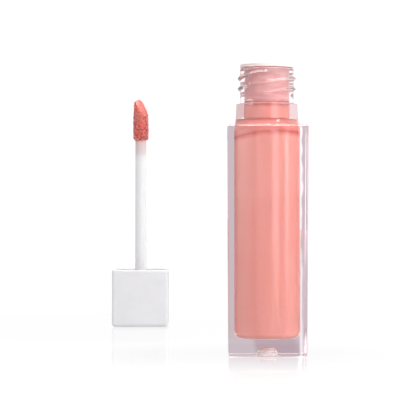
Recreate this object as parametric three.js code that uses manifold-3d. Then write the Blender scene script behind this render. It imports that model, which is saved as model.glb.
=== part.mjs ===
// Lip gloss tube with its doe-foot applicator, in millimetres, +Z up.
// A thick clear square bottle with a double-start threaded neck stands on the table. Its screw cap
// stands upside down beside it, so the wand in the cap points up with the flocked tip at the top.
// The origin is the centre of the bottle's base.
import * as THREE from 'three';
import { mergeVertices } from 'three/addons/utils/BufferGeometryUtils.js';
import Module from 'manifold-3d';

const wasm = await Module();
wasm.setup();

// Fits
const GAP = 0.3;
const OVERLAP = 1;

// Fineness of the curves
const ROUND_SIDES = 36;
const EDGE_STEPS = 3;
const DOME_STEPS = 6;

// Bottle body
const BODY_HEIGHT = 50.1;
const BODY_BASE_WIDTH = 16.9;
const BODY_TOP_WIDTH = 17.5;
const BODY_CORNER_RADIUS = 0.5;
const BODY_EDGE_RADIUS = 0.8;

// Cavity inside the bottle
const CAVITY_RADIUS = 7.2;
const CAVITY_FLOOR_Z = 3.4;
const CAVITY_FLOOR_DOME = 0.25;
const CAVITY_FLOOR_ROUND = 1.4;
const CAVITY_TOP_Z = 51.5;
const CAVITY_DOME_ROUND = 3.0;
const BORE_RADIUS = 3.65;

// Neck: a collar under a thread of the standard 13 mm finish
const COLLAR_FOOT_RADIUS = 7.2;
const COLLAR_BOTTOM_RADIUS = 6.9;
const COLLAR_TOP_RADIUS = 6.75;
const COLLAR_BOTTOM_Z = 51.6;
const COLLAR_TOP_Z = 54.9;
const NECK_RADIUS = 5.9;
const NECK_TOP_Z = 62.7;
const NECK_EDGE = 0.3;

// Double-start right-hand thread
const THREAD_CREST_RADIUS = 6.5;
const THREAD_LEAD = 4.5;
const THREAD_STARTS = 2;
const THREAD_TURNS = 1.05;
const THREAD_START_Z = 57.0;
const THREAD_START_DEG = -103;
const THREAD_ROOT_WIDTH = 1.1;
const THREAD_CREST_WIDTH = 0.5;
const THREAD_STEPS = 32;
const THREAD_FADE = 0.06;
const NECK_THREAD_BURIED_DEPTH = 0.5;
const CAP_THREAD_BURIED_DEPTH = 0.3;
const THREAD_BURIED_SHARE = 0.8;

// Wiper pressed into the neck
const WIPER_TOP_Z = 63.6;
const WIPER_FLANGE_RADIUS = 5.85;
const WIPER_FLANGE_THICKNESS = 0.6;
const WIPER_BORE_RADIUS = 2.95;
const WIPER_WALL = 0.4;
const WIPER_CONE_Z = 55.8;
const WIPER_BOTTOM_Z = 54.6;
const WIPER_ORIFICE_RADIUS = 1.75;

// Applicator, in its own frame: the cap's closed face at height 0, the wand pointing up
const APPLICATOR_X = -31.45;
const APPLICATOR_Y = 98.35;
const CAP_WIDTH = 15.13;
const CAP_HEIGHT = 15.35;
const CAP_CORNER_RADIUS = 0.5;
const CAP_CLOSED_EDGE_RADIUS = 1.0;
const CAP_RIM_EDGE_RADIUS = 0.3;
const CAP_PLATE = 2.4;
const CAP_BORE_RADIUS = 6.65;
const CAP_MOUTH_RADIUS = 7.0;
const CAP_MOUTH_DEPTH = 3.2;
const CAP_THREAD_CREST_RADIUS = 6.1;
const CAP_THREAD_START_Z = 5.0;
const CAP_THREAD_START_DEG = -40;
const SOCKET_RADIUS = 2.4;
const SOCKET_TOP_Z = 6.4;
const SOCKET_FLOOR_Z = 1.3;

// Sealing washer round the socket
const GASKET_THICKNESS = 0.85;

// Wand and tip
const WAND_FOOT_RADIUS = 1.56;
const WAND_END_RADIUS = 1.5;
const WAND_FIT = 0.2;
const WAND_END_Z = 50.6;
const WAND_BORE_RADIUS = 1.0;
const WAND_BORE_DEPTH = 4.6;
const TIP_SPIGOT_RADIUS = 0.8;
const TIP_SPIGOT_LENGTH = 4.1;
const TIP_CORE_RADIUS = 1.25;
const FLOCK_RADIUS = 2.05;
const FLOCK_BOTTOM_Z = 50.75;
const FLOCK_TOP_Z = 61.9;
const FLOCK_DEPTH = 0.6;
const FLOCK_FIT = 0.2;
const DOE_FOOT_TILT_DEG = 56;
const DOE_FOOT_FACING_DEG = -35;
const DOE_FOOT_CUT_Z = 61.1;
const DOE_FOOT_ROUND_SHARE = 0.6;
const CUTTER_SIDE = 12;

// A geometry as a closed solid that faces out.
function solid(geometry) {
  const bare = new THREE.BufferGeometry();
  const source = geometry.index ? geometry.toNonIndexed() : geometry;
  bare.setAttribute('position', source.getAttribute('position'));
  const merged = mergeVertices(bare, 1e-4);
  const corners = new Uint32Array(merged.index.array);
  const vertProperties = merged.attributes.position.array;
  const make = (triVerts) => new wasm.Manifold(new wasm.Mesh({ numProp: 3, vertProperties, triVerts }));
  const made = make(corners);
  return made.volume() < 0 ? make(corners.reverse()) : made;
}

// A solid as a named mesh with a material.
function part(name, body, material) {
  const { vertProperties, triVerts } = body.getMesh();
  const geometry = new THREE.BufferGeometry();
  geometry.setAttribute('position', new THREE.BufferAttribute(new Float32Array(vertProperties), 3));
  geometry.setIndex(new THREE.BufferAttribute(new Uint32Array(triVerts), 1));
  geometry.computeVertexNormals();
  const mesh = new THREE.Mesh(geometry, material);
  mesh.name = name;
  return mesh;
}

// A round solid from [radius, height] pairs, turned about +Z.
function turned(profile, closed = false) {
  const points = profile.map(([radius, height]) => new THREE.Vector2(radius, height));
  if (closed) points.push(points[0].clone());
  return solid(new THREE.LatheGeometry(points, ROUND_SIDES).rotateX(Math.PI / 2));
}

// [radius, height] pairs round a quarter circle about a centre.
function quarterRound(centreRadius, centreHeight, radius, fromDeg, steps = EDGE_STEPS) {
  const pairs = [];
  for (let i = 0; i <= steps; i++) {
    const angle = THREE.MathUtils.degToRad(fromDeg + (90 * i) / steps);
    pairs.push([centreRadius + radius * Math.cos(angle), centreHeight + radius * Math.sin(angle)]);
  }
  return pairs;
}

// A square outline one unit wide with rounded corners.
function squareOutline(corner) {
  const flat = 0.5 - corner;
  const shape = new THREE.Shape();
  shape.absarc(flat, -flat, corner, -Math.PI / 2, 0);
  shape.absarc(flat, flat, corner, 0, Math.PI / 2);
  shape.absarc(-flat, flat, corner, Math.PI / 2, Math.PI);
  shape.absarc(-flat, -flat, corner, Math.PI, 1.5 * Math.PI);
  shape.closePath();
  return shape;
}

// A square block with rounded corners, a width at each end and both ends rounded over.
function squareBlock({ height, bottomWidth, topWidth, corner, bottomRound, topRound }) {
  const layers = [];
  const widthAt = (z) => THREE.MathUtils.lerp(bottomWidth, topWidth, z / height);
  for (const [radius, atTop] of [[bottomRound, false], [topRound, true]]) {
    for (let i = 0; i <= EDGE_STEPS; i++) {
      const turn = ((atTop ? EDGE_STEPS - i : i) / EDGE_STEPS) * (Math.PI / 2);
      const rise = radius * (1 - Math.cos(turn));
      const inset = radius * (1 - Math.sin(turn));
      const z = atTop ? height - rise : rise;
      layers.push({ z, width: widthAt(z) - 2 * inset });
    }
  }
  const steps = layers.length - 1;
  const options = { depth: steps, steps, bevelEnabled: false, curveSegments: EDGE_STEPS + 1 };
  const geometry = new THREE.ExtrudeGeometry(squareOutline(corner / topWidth), options);
  const position = geometry.attributes.position;
  for (let i = 0; i < position.count; i++) {
    const { z, width } = layers[Math.round(position.getZ(i))];
    position.setXYZ(i, position.getX(i) * width, position.getY(i) * width, z);
  }
  return solid(geometry);
}

// One thread ridge: a trapezoid that climbs a right-hand helix and fades into the wall at its ends.
// It starts at buriedRadius, inside the wall, and reaches from the wall's surface to the crest.
function threadRidge({ buriedRadius, wallRadius, crestRadius, startZ, startDeg }) {
  const outline = new THREE.Shape();
  outline.moveTo(0, -THREAD_ROOT_WIDTH / 2);
  outline.lineTo(1, -THREAD_CREST_WIDTH / 2);
  outline.lineTo(1, THREAD_CREST_WIDTH / 2);
  outline.lineTo(0, THREAD_ROOT_WIDTH / 2);
  outline.closePath();
  const options = { depth: 1, steps: THREAD_STEPS, bevelEnabled: false };
  const geometry = new THREE.ExtrudeGeometry(outline, options);
  const position = geometry.attributes.position;
  const hidden = THREE.MathUtils.lerp(buriedRadius, wallRadius, THREAD_BURIED_SHARE);
  for (let i = 0; i < position.count; i++) {
    const along = position.getZ(i);
    const fade = Math.min(1, along / THREAD_FADE, (1 - along) / THREAD_FADE);
    const tip = THREE.MathUtils.lerp(hidden, crestRadius, fade);
    const radius = THREE.MathUtils.lerp(buriedRadius, tip, position.getX(i));
    const angle = THREE.MathUtils.degToRad(startDeg) + along * THREAD_TURNS * 2 * Math.PI;
    const z = startZ + position.getY(i) + along * THREAD_TURNS * THREAD_LEAD;
    position.setXYZ(i, radius * Math.cos(angle), radius * Math.sin(angle), z);
  }
  return solid(geometry);
}

// A body with the ridges of the multi-start thread added to it.
function threaded(body, ridge) {
  let made = body;
  for (let start = 0; start < THREAD_STARTS; start++) {
    const startDeg = ridge.startDeg + (360 / THREAD_STARTS) * start;
    made = made.add(threadRidge({ ...ridge, startDeg }));
  }
  return made;
}

// The space inside the bottle up to a height in the bore, drawn in by a clearance on every side.
// It is a round well whose wall curves inwards at the top, like a dome, to meet the neck's bore.
function cavityProfile(clearance, topZ) {
  const radius = CAVITY_RADIUS - clearance;
  const floor = CAVITY_FLOOR_Z + clearance;
  const shoulder = CAVITY_TOP_Z - clearance;
  const floorRound = CAVITY_FLOOR_ROUND;
  const domeRound = CAVITY_DOME_ROUND - clearance;
  const bore = BORE_RADIUS - clearance;
  return [
    [0, floor],
    ...quarterRound(radius - floorRound, floor + CAVITY_FLOOR_DOME + floorRound, floorRound, -90),
    ...quarterRound(radius - domeRound, shoulder - domeRound, domeRound, 0, DOME_STEPS),
    [bore, shoulder],
    [bore, topZ],
    [0, topZ],
  ];
}

function bottle() {
  const body = squareBlock({
    height: BODY_HEIGHT,
    bottomWidth: BODY_BASE_WIDTH,
    topWidth: BODY_TOP_WIDTH,
    corner: BODY_CORNER_RADIUS,
    bottomRound: BODY_EDGE_RADIUS,
    topRound: BODY_EDGE_RADIUS,
  });
  const neck = turned([
    [0, BODY_HEIGHT - OVERLAP],
    [COLLAR_FOOT_RADIUS, BODY_HEIGHT - OVERLAP],
    [COLLAR_FOOT_RADIUS, BODY_HEIGHT],
    [COLLAR_BOTTOM_RADIUS, COLLAR_BOTTOM_Z],
    [COLLAR_TOP_RADIUS, COLLAR_TOP_Z - NECK_EDGE],
    [COLLAR_TOP_RADIUS - NECK_EDGE, COLLAR_TOP_Z],
    [NECK_RADIUS, COLLAR_TOP_Z],
    [NECK_RADIUS, NECK_TOP_Z - NECK_EDGE],
    [NECK_RADIUS - NECK_EDGE, NECK_TOP_Z],
    [0, NECK_TOP_Z],
  ]);
  const outside = threaded(body.add(neck), {
    buriedRadius: NECK_RADIUS - NECK_THREAD_BURIED_DEPTH,
    wallRadius: NECK_RADIUS,
    crestRadius: THREAD_CREST_RADIUS,
    startZ: THREAD_START_Z,
    startDeg: THREAD_START_DEG,
  });
  const hollow = outside.subtract(turned(cavityProfile(0, NECK_TOP_Z + OVERLAP)));
  const material = new THREE.MeshStandardMaterial({
    color: 0xe9e4e8,
    roughness: 0.04,
    metalness: 0,
    transparent: true,
    opacity: 0.35,
  });
  return part('bottle', hollow, material);
}

function glossFill() {
  const material = new THREE.MeshStandardMaterial({ color: 0xf59b8f, roughness: 0.25, metalness: 0 });
  return part('gloss_fill', turned(cavityProfile(GAP, WIPER_BOTTOM_Z - GAP)), material);
}

// A flange on the neck's rim, a sleeve down the bore and a cone that narrows to the wiping hole.
function wiper() {
  const outer = WIPER_BORE_RADIUS + WIPER_WALL;
  const flangeUnder = WIPER_TOP_Z - WIPER_FLANGE_THICKNESS;
  const ring = turned([
    [WIPER_BORE_RADIUS, WIPER_TOP_Z],
    [WIPER_FLANGE_RADIUS, WIPER_TOP_Z],
    [WIPER_FLANGE_RADIUS, flangeUnder],
    [outer, flangeUnder],
    [outer, WIPER_CONE_Z],
    [WIPER_ORIFICE_RADIUS + WIPER_WALL / 2, WIPER_BOTTOM_Z],
    [WIPER_ORIFICE_RADIUS, WIPER_BOTTOM_Z],
    [WIPER_ORIFICE_RADIUS, WIPER_BOTTOM_Z + WIPER_WALL],
    [WIPER_BORE_RADIUS, WIPER_CONE_Z + WIPER_WALL],
  ], true);
  const material = new THREE.MeshStandardMaterial({
    color: 0xf6e3df,
    roughness: 0.35,
    metalness: 0,
    transparent: true,
    opacity: 0.6,
  });
  return part('wiper', ring, material);
}

// The square cap: a threaded bore, a wider mouth that clears the collar, and a socket for the wand.
function cap() {
  const block = squareBlock({
    height: CAP_HEIGHT,
    bottomWidth: CAP_WIDTH,
    topWidth: CAP_WIDTH,
    corner: CAP_CORNER_RADIUS,
    bottomRound: CAP_CLOSED_EDGE_RADIUS,
    topRound: CAP_RIM_EDGE_RADIUS,
  });
  const socketHole = WAND_FOOT_RADIUS + WAND_FIT;
  const above = CAP_HEIGHT + OVERLAP;
  const mouthZ = CAP_HEIGHT - CAP_MOUTH_DEPTH;
  const hollow = turned([
    [0, SOCKET_FLOOR_Z],
    [socketHole, SOCKET_FLOOR_Z],
    [socketHole, SOCKET_TOP_Z],
    [SOCKET_RADIUS, SOCKET_TOP_Z],
    [SOCKET_RADIUS, CAP_PLATE],
    [CAP_BORE_RADIUS, CAP_PLATE],
    [CAP_BORE_RADIUS, mouthZ - (CAP_MOUTH_RADIUS - CAP_BORE_RADIUS)],
    [CAP_MOUTH_RADIUS, mouthZ],
    [CAP_MOUTH_RADIUS, above],
    [0, above],
  ]);
  const shell = threaded(block.subtract(hollow), {
    buriedRadius: CAP_BORE_RADIUS + CAP_THREAD_BURIED_DEPTH,
    wallRadius: CAP_BORE_RADIUS,
    crestRadius: CAP_THREAD_CREST_RADIUS,
    startZ: CAP_THREAD_START_Z,
    startDeg: CAP_THREAD_START_DEG,
  });
  return part('cap', shell, new THREE.MeshStandardMaterial({ color: 0xe9e9ec, roughness: 0.45 }));
}

function capGasket() {
  const bottom = CAP_PLATE + GAP;
  const top = bottom + GASKET_THICKNESS;
  const inner = SOCKET_RADIUS + GAP;
  const outer = CAP_BORE_RADIUS - GAP;
  const ring = turned([[inner, bottom], [outer, bottom], [outer, top], [inner, top]], true);
  return part('cap_gasket', ring, new THREE.MeshStandardMaterial({ color: 0xf2f1ee, roughness: 0.7 }));
}

// The wand is pressed into the cap's socket and is bored at its far end for the tip's spigot.
function wandRod() {
  const boreFloor = WAND_END_Z - WAND_BORE_DEPTH;
  const rod = turned([
    [0, SOCKET_FLOOR_Z + GAP],
    [WAND_FOOT_RADIUS, SOCKET_FLOOR_Z + GAP],
    [WAND_FOOT_RADIUS, CAP_HEIGHT],
    [WAND_END_RADIUS, WAND_END_Z],
    [WAND_BORE_RADIUS, WAND_END_Z],
    [WAND_BORE_RADIUS, boreFloor],
    [0, boreFloor],
  ]);
  return part('wand_rod', rod, new THREE.MeshStandardMaterial({ color: 0xf0f0f2, roughness: 0.3 }));
}

// A box whose under side is the slanted face of the doe foot, for cutting whatever lies above it.
function aboveDoeFoot(inset) {
  const cutter = new THREE.BoxGeometry(CUTTER_SIDE, CUTTER_SIDE, CUTTER_SIDE)
    .translate(0, 0, CUTTER_SIDE / 2 - inset)
    .rotateY(THREE.MathUtils.degToRad(DOE_FOOT_TILT_DEG))
    .rotateZ(THREE.MathUtils.degToRad(DOE_FOOT_FACING_DEG))
    .translate(0, 0, DOE_FOOT_CUT_Z);
  return solid(cutter);
}

// A round-ended finger about +Z, cut to the doe foot's slant.
function doeFoot(radius, bottomZ, topZ, inset) {
  const round = radius * DOE_FOOT_ROUND_SHARE;
  const finger = turned([
    [0, bottomZ],
    [radius, bottomZ],
    ...quarterRound(radius - round, topZ - round, round, 0),
    [0, topZ],
  ]);
  return finger.subtract(aboveDoeFoot(inset));
}

// The soft moulded core: a spigot in the wand's bore and a slanted finger under the flock.
function tipCore() {
  const spigot = turned([
    [0, WAND_END_Z - TIP_SPIGOT_LENGTH],
    [TIP_SPIGOT_RADIUS, WAND_END_Z - TIP_SPIGOT_LENGTH],
    [TIP_SPIGOT_RADIUS, FLOCK_BOTTOM_Z + OVERLAP],
    [0, FLOCK_BOTTOM_Z + OVERLAP],
  ]);
  const inset = FLOCK_DEPTH + FLOCK_FIT;
  const finger = doeFoot(TIP_CORE_RADIUS, WAND_END_Z + GAP, FLOCK_TOP_Z - inset, inset);
  const material = new THREE.MeshStandardMaterial({ color: 0xeaa79c, roughness: 0.5 });
  return part('tip_core', spigot.add(finger), material);
}

// The flock: a sleeve of short nylon fibre over the core, soaked with gloss.
function tipFlock() {
  const outside = doeFoot(FLOCK_RADIUS, FLOCK_BOTTOM_Z, FLOCK_TOP_Z, 0);
  const insideTopZ = FLOCK_TOP_Z - FLOCK_DEPTH;
  const inside = doeFoot(FLOCK_RADIUS - FLOCK_DEPTH, FLOCK_BOTTOM_Z - OVERLAP, insideTopZ, FLOCK_DEPTH);
  const material = new THREE.MeshStandardMaterial({ color: 0xe4746c, roughness: 0.6 });
  return part('tip_flock', outside.subtract(inside), material);
}

const tube = new THREE.Group();
tube.add(bottle(), glossFill(), wiper());

const applicator = new THREE.Group();
applicator.position.set(APPLICATOR_X, APPLICATOR_Y, 0);
applicator.add(cap(), capGasket(), wandRod(), tipCore(), tipFlock());
tube.add(applicator);

export default tube;
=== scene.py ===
import math
import random

import bmesh
import bpy
import numpy as np
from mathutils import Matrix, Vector, noise


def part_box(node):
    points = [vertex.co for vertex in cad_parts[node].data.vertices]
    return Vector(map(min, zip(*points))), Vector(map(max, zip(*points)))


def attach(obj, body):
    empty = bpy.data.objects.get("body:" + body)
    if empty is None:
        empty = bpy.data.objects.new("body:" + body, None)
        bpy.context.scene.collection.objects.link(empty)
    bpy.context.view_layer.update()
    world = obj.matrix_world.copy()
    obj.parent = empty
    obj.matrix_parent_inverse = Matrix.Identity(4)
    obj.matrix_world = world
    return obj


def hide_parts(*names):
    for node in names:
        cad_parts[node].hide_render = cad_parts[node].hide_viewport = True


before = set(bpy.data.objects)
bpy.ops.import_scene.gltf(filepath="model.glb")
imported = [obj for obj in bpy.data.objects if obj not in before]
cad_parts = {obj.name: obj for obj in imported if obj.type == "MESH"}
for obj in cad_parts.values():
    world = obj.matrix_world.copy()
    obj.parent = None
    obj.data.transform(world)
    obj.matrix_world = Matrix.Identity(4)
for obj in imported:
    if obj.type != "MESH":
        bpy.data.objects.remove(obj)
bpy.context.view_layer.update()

MM = 0.001

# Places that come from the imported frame, in millimetres.
bottle_low, bottle_high = (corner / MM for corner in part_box("bottle"))
cap_low, cap_high = (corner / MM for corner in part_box("cap"))
flock_low, flock_high = (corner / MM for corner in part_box("tip_flock"))
wiper_low, wiper_high = (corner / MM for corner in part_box("wiper"))
BOTTLE_AXIS = (bottle_low + bottle_high) / 2
APPLICATOR_AXIS = (cap_low + cap_high) / 2

BLACK = (0, 0, 0)
WHITE = (1, 1, 1)

# Bottle
BODY_HEIGHT = 50.1
BODY_TAPER = 0.3
BODY_TOP_HALF = (bottle_high.x - bottle_low.x) / 2
BODY_BASE_HALF = BODY_TOP_HALF - BODY_TAPER
BODY_CORNER = 0.08
BASE_EDGE = 0.25
SHOULDER_EDGE = 0.5

# Gate mark: a grooved recess under the base. Haze is the share of the plastic that isn't clear.
GATE_RADIUS = 2.4
GATE_HEIGHT = 1.7
GATE_FLAT_SHARE = 0.4
GATE_GROOVES = 3.5
GATE_GROOVE_DEPTH = 0.05
GATE_NUB = [(0.22, -0.33), (0.34, -0.2), (0.42, -0.03)]
GATE_NUB_TIP = -0.35
GATE_FROST = 0.3
GATE_HAZE = 0.9
THREAD_HAZE = 0.12

# Neck, collar and inside
NECK_TOP = bottle_high.z
NECK_RADIUS = 5.9
RIM_EDGE = 0.25
BORE_LIP = 0.3
COLLAR_BOTTOM = 51.6
COLLAR_TOP = 54.9
COLLAR_BOTTOM_RADIUS = 6.88
COLLAR_TOP_RADIUS = 6.72
COLLAR_FOOT_RADIUS = 7.25
BORE_RADIUS = 3.3
LOWER_BORE_RADIUS = 3.35
CAVITY_RADIUS = 7.22
CAVITY_FLOOR = 3.4
CAVITY_DOME = 0.25
CAVITY_FLOOR_ROUND = 1.4
CAVITY_TOP = 51.5
CAVITY_TOP_ROUND = 3.0
# How far the liquid and the sleeve reach into the plastic, so that they look wet against it
WET_OVERLAP = 0.012
SLEEVE_OVERLAP = 0.01
# The height of the painted shade line in the gloss under the shoulder falls off from its middle,
# per mm squared.
SHADE_LINE_SAG = 0.0166
SHADE_LINE_MIDDLE = 2.0

# Thread on the neck and in the cap: two starts, right-handed
THREAD_LEAD = 4.5
THREAD_SWEEP_DEG = 378
THREAD_FADE_DEG = 14
THREAD_HALF_WIDTH = 0.6
NECK_THREAD = {"start_z": 57.0, "start_deg": -103, "depth": 0.5}
CAP_THREAD = {"start_z": 5.0, "start_deg": -40, "depth": -0.55}

# Wiper
WIPER_TOP = wiper_high.z
WIPER_BOTTOM = wiper_low.z
WIPER_FLANGE_RADIUS = (wiper_high.x - wiper_low.x) / 2
WIPER_FLANGE = 0.75
WIPER_INNER = 2.95
WIPER_OUTER = BORE_RADIUS + SLEEVE_OVERLAP
WIPER_WALL = 0.3
WIPER_CONE = 55.8
WIPER_HOLE = 1.75
WIPER_CLEARANCE = 0.1
FILM_THICKNESS = 0.16
FILM_WAVES = 0.05
LIQUID_TOP = WIPER_BOTTOM - WIPER_CLEARANCE
BORE_STEP_TOP = WIPER_BOTTOM + 0.3

# Cap
CAP_HALF = (cap_high.x - cap_low.x) / 2
CAP_HEIGHT = cap_high.z - cap_low.z
CAP_CORNER = 0.7
CAP_CLOSED_EDGE = 1.0
CAP_RIM_EDGE = 0.3
CAP_PLATE = 2.4
CAP_BORE = 6.65
CAP_MOUTH = 7.0
CAP_MOUTH_BOTTOM = 12.15
SOCKET_RADIUS = 2.4
SOCKET_TOP = 6.4
SOCKET_FLOOR = 1.3
WASHER_HEIGHT = 0.9

# Wand and tip
WAND_FOOT_RADIUS = 1.56
WAND_END_RADIUS = 1.5
WAND_END = 50.7
SPIGOT_RADIUS = 0.85
SPIGOT_LENGTH = 4.2
STAIN_REACH = 2.0
CORE_RADIUS = 1.2
CORE_BELOW = 0.8
CORE_INSET = 0.75
CORE_SOFTNESS = 0.4
LINER_BELOW = 0.75
LINER_INSET = 0.7
FLOCK_RADIUS = 1.78
FLOCK_SOFTNESS = 2.6
TIP_ROUND_SHARE = 0.6
CLUMP_SIZE = 0.42
CLUMP_PUSH = 0.15
WET_FROM = 0.6
WET_OVER = 0.4
BRISTLE_COUNT = 1900
BRISTLE_LENGTHS = (0.28, 0.5)
BRISTLE_THICKNESSES = (0.07, 0.12)
BRISTLE_SEED = 7
FLOCK_BOTTOM = flock_low.z
FLOCK_TOP = flock_high.z
DOE_TILT = math.radians(56)
DOE_FACING = math.radians(-35)
DOE_CUT = 61.1


# ---------------------------------------------------------------- camera
CAMERA_X = -12.5
CAMERA_DISTANCE = 400.0
CAMERA_HEIGHT = 31.64
LENS = 155.85


def make_camera():
    data = bpy.data.cameras.new("camera")
    data.lens = LENS
    data.sensor_width = 36
    data.clip_start = 0.01
    data.clip_end = 20
    camera = bpy.data.objects.new("camera", data)
    camera.location = Vector((CAMERA_X, -CAMERA_DISTANCE, CAMERA_HEIGHT)) * MM
    camera.rotation_euler = (math.radians(90), 0, 0)
    bpy.context.scene.collection.objects.link(camera)
    bpy.context.scene.camera = camera


# ---------------------------------------------------------------- light and floor values
SEEN_WHITE = 1.05
BEHIND_GLASS = (0.64, 0.56, 0.60)
BEHIND_GLASS_DARK = (0.52, 0.41, 0.46)
ABOVE_GLASS = (1.0, 0.97, 0.975)
ABOVE_GLASS_STRENGTH = 1.35
STAGE_MIDDLE = (-0.01, 0.01, 0.03)
FLOOR_GLOW = (0.65, 0.65, 0.65)
# The glass block keeps much of the light that goes in, so what goes in is stronger by these.
BOOST_LEFT = 0.92
BOOST_RIGHT = 1.5
BOOST_FLOOR = 1.15
# (direction along X, colour): what lights the pieces
WORLD_LIGHT = [
    (-1.0, (0.76, 0.755, 0.765)),
    (-0.3, (0.82, 0.815, 0.825)),
    (0.35, (0.98, 0.975, 0.985)),
    (1.0, (1.07, 1.065, 1.075)),
]
# What is seen through the glass
WORLD_THROUGH_GLASS = [
    (-1.0, (1.3, 1.22, 1.22)),
    (-0.35, (1.05, 0.96, 0.98)),
    (-0.12, BEHIND_GLASS),
    (0.12, BEHIND_GLASS),
    (0.35, (1.2, 1.14, 1.15)),
    (1.0, (1.45, 1.40, 1.40)),
]
# The same for rays that were mirrored on the way, inside the glass or on the gloss
WORLD_AFTER_MIRROR = [
    (-1.0, (0.45, 0.38, 0.40)),
    (-0.35, (0.50, 0.43, 0.46)),
    (-0.12, BEHIND_GLASS),
    (0.12, BEHIND_GLASS),
    (0.35, (1.3, 1.24, 1.25)),
    (1.0, (1.9, 1.85, 1.85)),
]
# A bright gap behind the glass, beside the right edge of the gloss: its direction along X
GAP_CENTRE = 0.0496
GAP_HALF = 0.0008
# The share that is bright above the horizon, by the steepness and by the direction along X
ABOVE_BY_STEEPNESS = [(0.12, BLACK), (0.45, WHITE)]
ABOVE_BY_SIDE = [(0.1, (0.1, 0.1, 0.1)), (0.5, WHITE)]
# How far the floor's ramps reach
FLOOR_REACH = 120.0
# (millimetres from the axis, share of the floor that mirrors)
FLOOR_BY_BOTTLE = [(8.0, 0.59), (28.5, 0.37), (48.5, 0.13), (80.0, 0.0)]
FLOOR_BY_CAP = [(7.5, 0.35), (55.0, 0.33), (88.0, 0.08), (108.0, 0.0)]
# The floor as it is seen through the glass: (millimetres along X, colour)
FLOOR_THROUGH_GLASS = [
    (-300.0, (0.98, 0.76, 0.77)),
    (-60.0, BEHIND_GLASS),
    (60.0, BEHIND_GLASS),
    (300.0, (0.80, 0.54, 0.54)),
]
# A darker strip of it close behind the bottle, from its left to its right edge
STRIP_EDGES = (-2.4, -1.4, 7.6, 9.4)
STRIP_NEAR = [(0.0, 1.0), (80.0, 1.0), (115.0, 0.0)]
# Close round the bottle it is bright for rays that the gloss or the glass mirrored
MIRRORED_FLOOR = (1.5, 1.42, 1.42)
MIRRORED_NEAR = [(0.0, 1.0), (40.0, 1.0), (90.0, 0.0)]
# Under the gate mark it is bright too
UNDER_GATE = [(0.0, 1.0), (GATE_RADIUS + 0.2, 1.0), (GATE_RADIUS + 0.6, 0.0)]
FLOOR_SIZE = 6.0
FLOOR_MIRROR_ROUGHNESS = 0.012
# Rays with a larger depth were turned back inside the block.
TURNED_BACK_DEPTH = 3.5


# ---------------------------------------------------------------- mesh helpers
def ring_angles(count, crowding):
    """Angles round the axis, closer together at the four corners of a square."""
    even = np.arange(count) * 2 * math.pi / count
    return even + crowding / 4 * np.sin(4 * even)


SQUARE_ANGLES = ring_angles(320, 0.55)
ROUND_ANGLES = ring_angles(128, 0)


def ring(radius, z, angles):
    """Points at a distance, which may differ from point to point, from the axis."""
    radius = np.broadcast_to(radius, angles.shape)
    flat = np.full(angles.shape, float(z))
    return np.stack([radius * np.cos(angles), radius * np.sin(angles), flat], 1)


def pole(z):
    return np.array([[0.0, 0.0, float(z)]])


def square_radius(half, corner, angles):
    """Distance from the centre to the edge of a square with rounded corners."""
    across = np.abs(np.cos(angles))
    up = np.abs(np.sin(angles))
    big = np.maximum(across, up)
    small = np.minimum(across, up)
    flat = half / big
    centre = half - corner
    total = centre * (big + small)
    arc_part = total + np.sqrt(np.maximum(total**2 - 2 * centre**2 + corner**2, 0))
    return np.where(flat * small <= centre, flat, arc_part)


def arc(centre_r, centre_z, radius, from_deg, to_deg, steps=6):
    """[radius, height] pairs along an arc of a turned profile."""
    turns = np.radians(np.linspace(from_deg, to_deg, steps + 1))
    return [(centre_r + radius * math.cos(t), centre_z + radius * math.sin(t)) for t in turns]


def line(start, end, steps):
    """[radius, height] pairs from start to end, without the start itself."""
    across, up = end[0] - start[0], end[1] - start[1]
    return [(start[0] + across * s, start[1] + up * s) for s in np.linspace(0, 1, steps + 1)[1:]]


def turned(profile, angles):
    """Rings of a turned profile; a pair on the axis becomes a single point."""
    return [pole(z) if r < 1e-6 else ring(r, z, angles) for r, z in profile]


def band(lower, upper, first, second):
    """Faces between two rings whose points start at the given numbers."""
    n, m = len(lower), len(upper)
    if n == 1:
        return [(first, second + (j + 1) % m, second + j) for j in range(m)]
    if m == 1:
        return [(first + j, first + (j + 1) % n, second) for j in range(n)]
    pairs = [(j, (j + 1) % n) for j in range(n)]
    return [(first + j, first + k, second + k, second + j) for j, k in pairs]


def rings_to_geometry(rings, closed=False):
    """Points and faces of a skin over rings; closed joins the last ring to the first."""
    starts = np.cumsum([0] + [len(r) for r in rings[:-1]]).tolist()
    faces = []
    for i in range(len(rings) - 1):
        faces += band(rings[i], rings[i + 1], starts[i], starts[i + 1])
    if closed:
        faces += band(rings[-1], rings[0], starts[-1], starts[0])
    return np.concatenate(rings), faces


def make_object(name, parts, material, body, nodes=()):
    """One piece from [points, faces] parts, in millimetres about its body's axis, riding on it."""
    centre = BOTTLE_AXIS if body == "bottle" else APPLICATOR_AXIS
    bm = bmesh.new()
    for points, faces in parts:
        placed = (np.asarray(points) + np.array([centre.x, centre.y, 0])) * MM
        verts = [bm.verts.new(p) for p in placed]
        for face in faces:
            bm.faces.new([verts[i] for i in face])
    bmesh.ops.recalc_face_normals(bm, faces=bm.faces)
    mesh = bpy.data.meshes.new(name)
    bm.to_mesh(mesh)
    bm.free()
    mesh.polygons.foreach_set("use_smooth", [True] * len(mesh.polygons))
    piece = bpy.data.objects.new(name, mesh)
    bpy.context.scene.collection.objects.link(piece)
    mesh.materials.append(material)
    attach(piece, body)
    if nodes:
        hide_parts(*nodes)
    return piece


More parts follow.
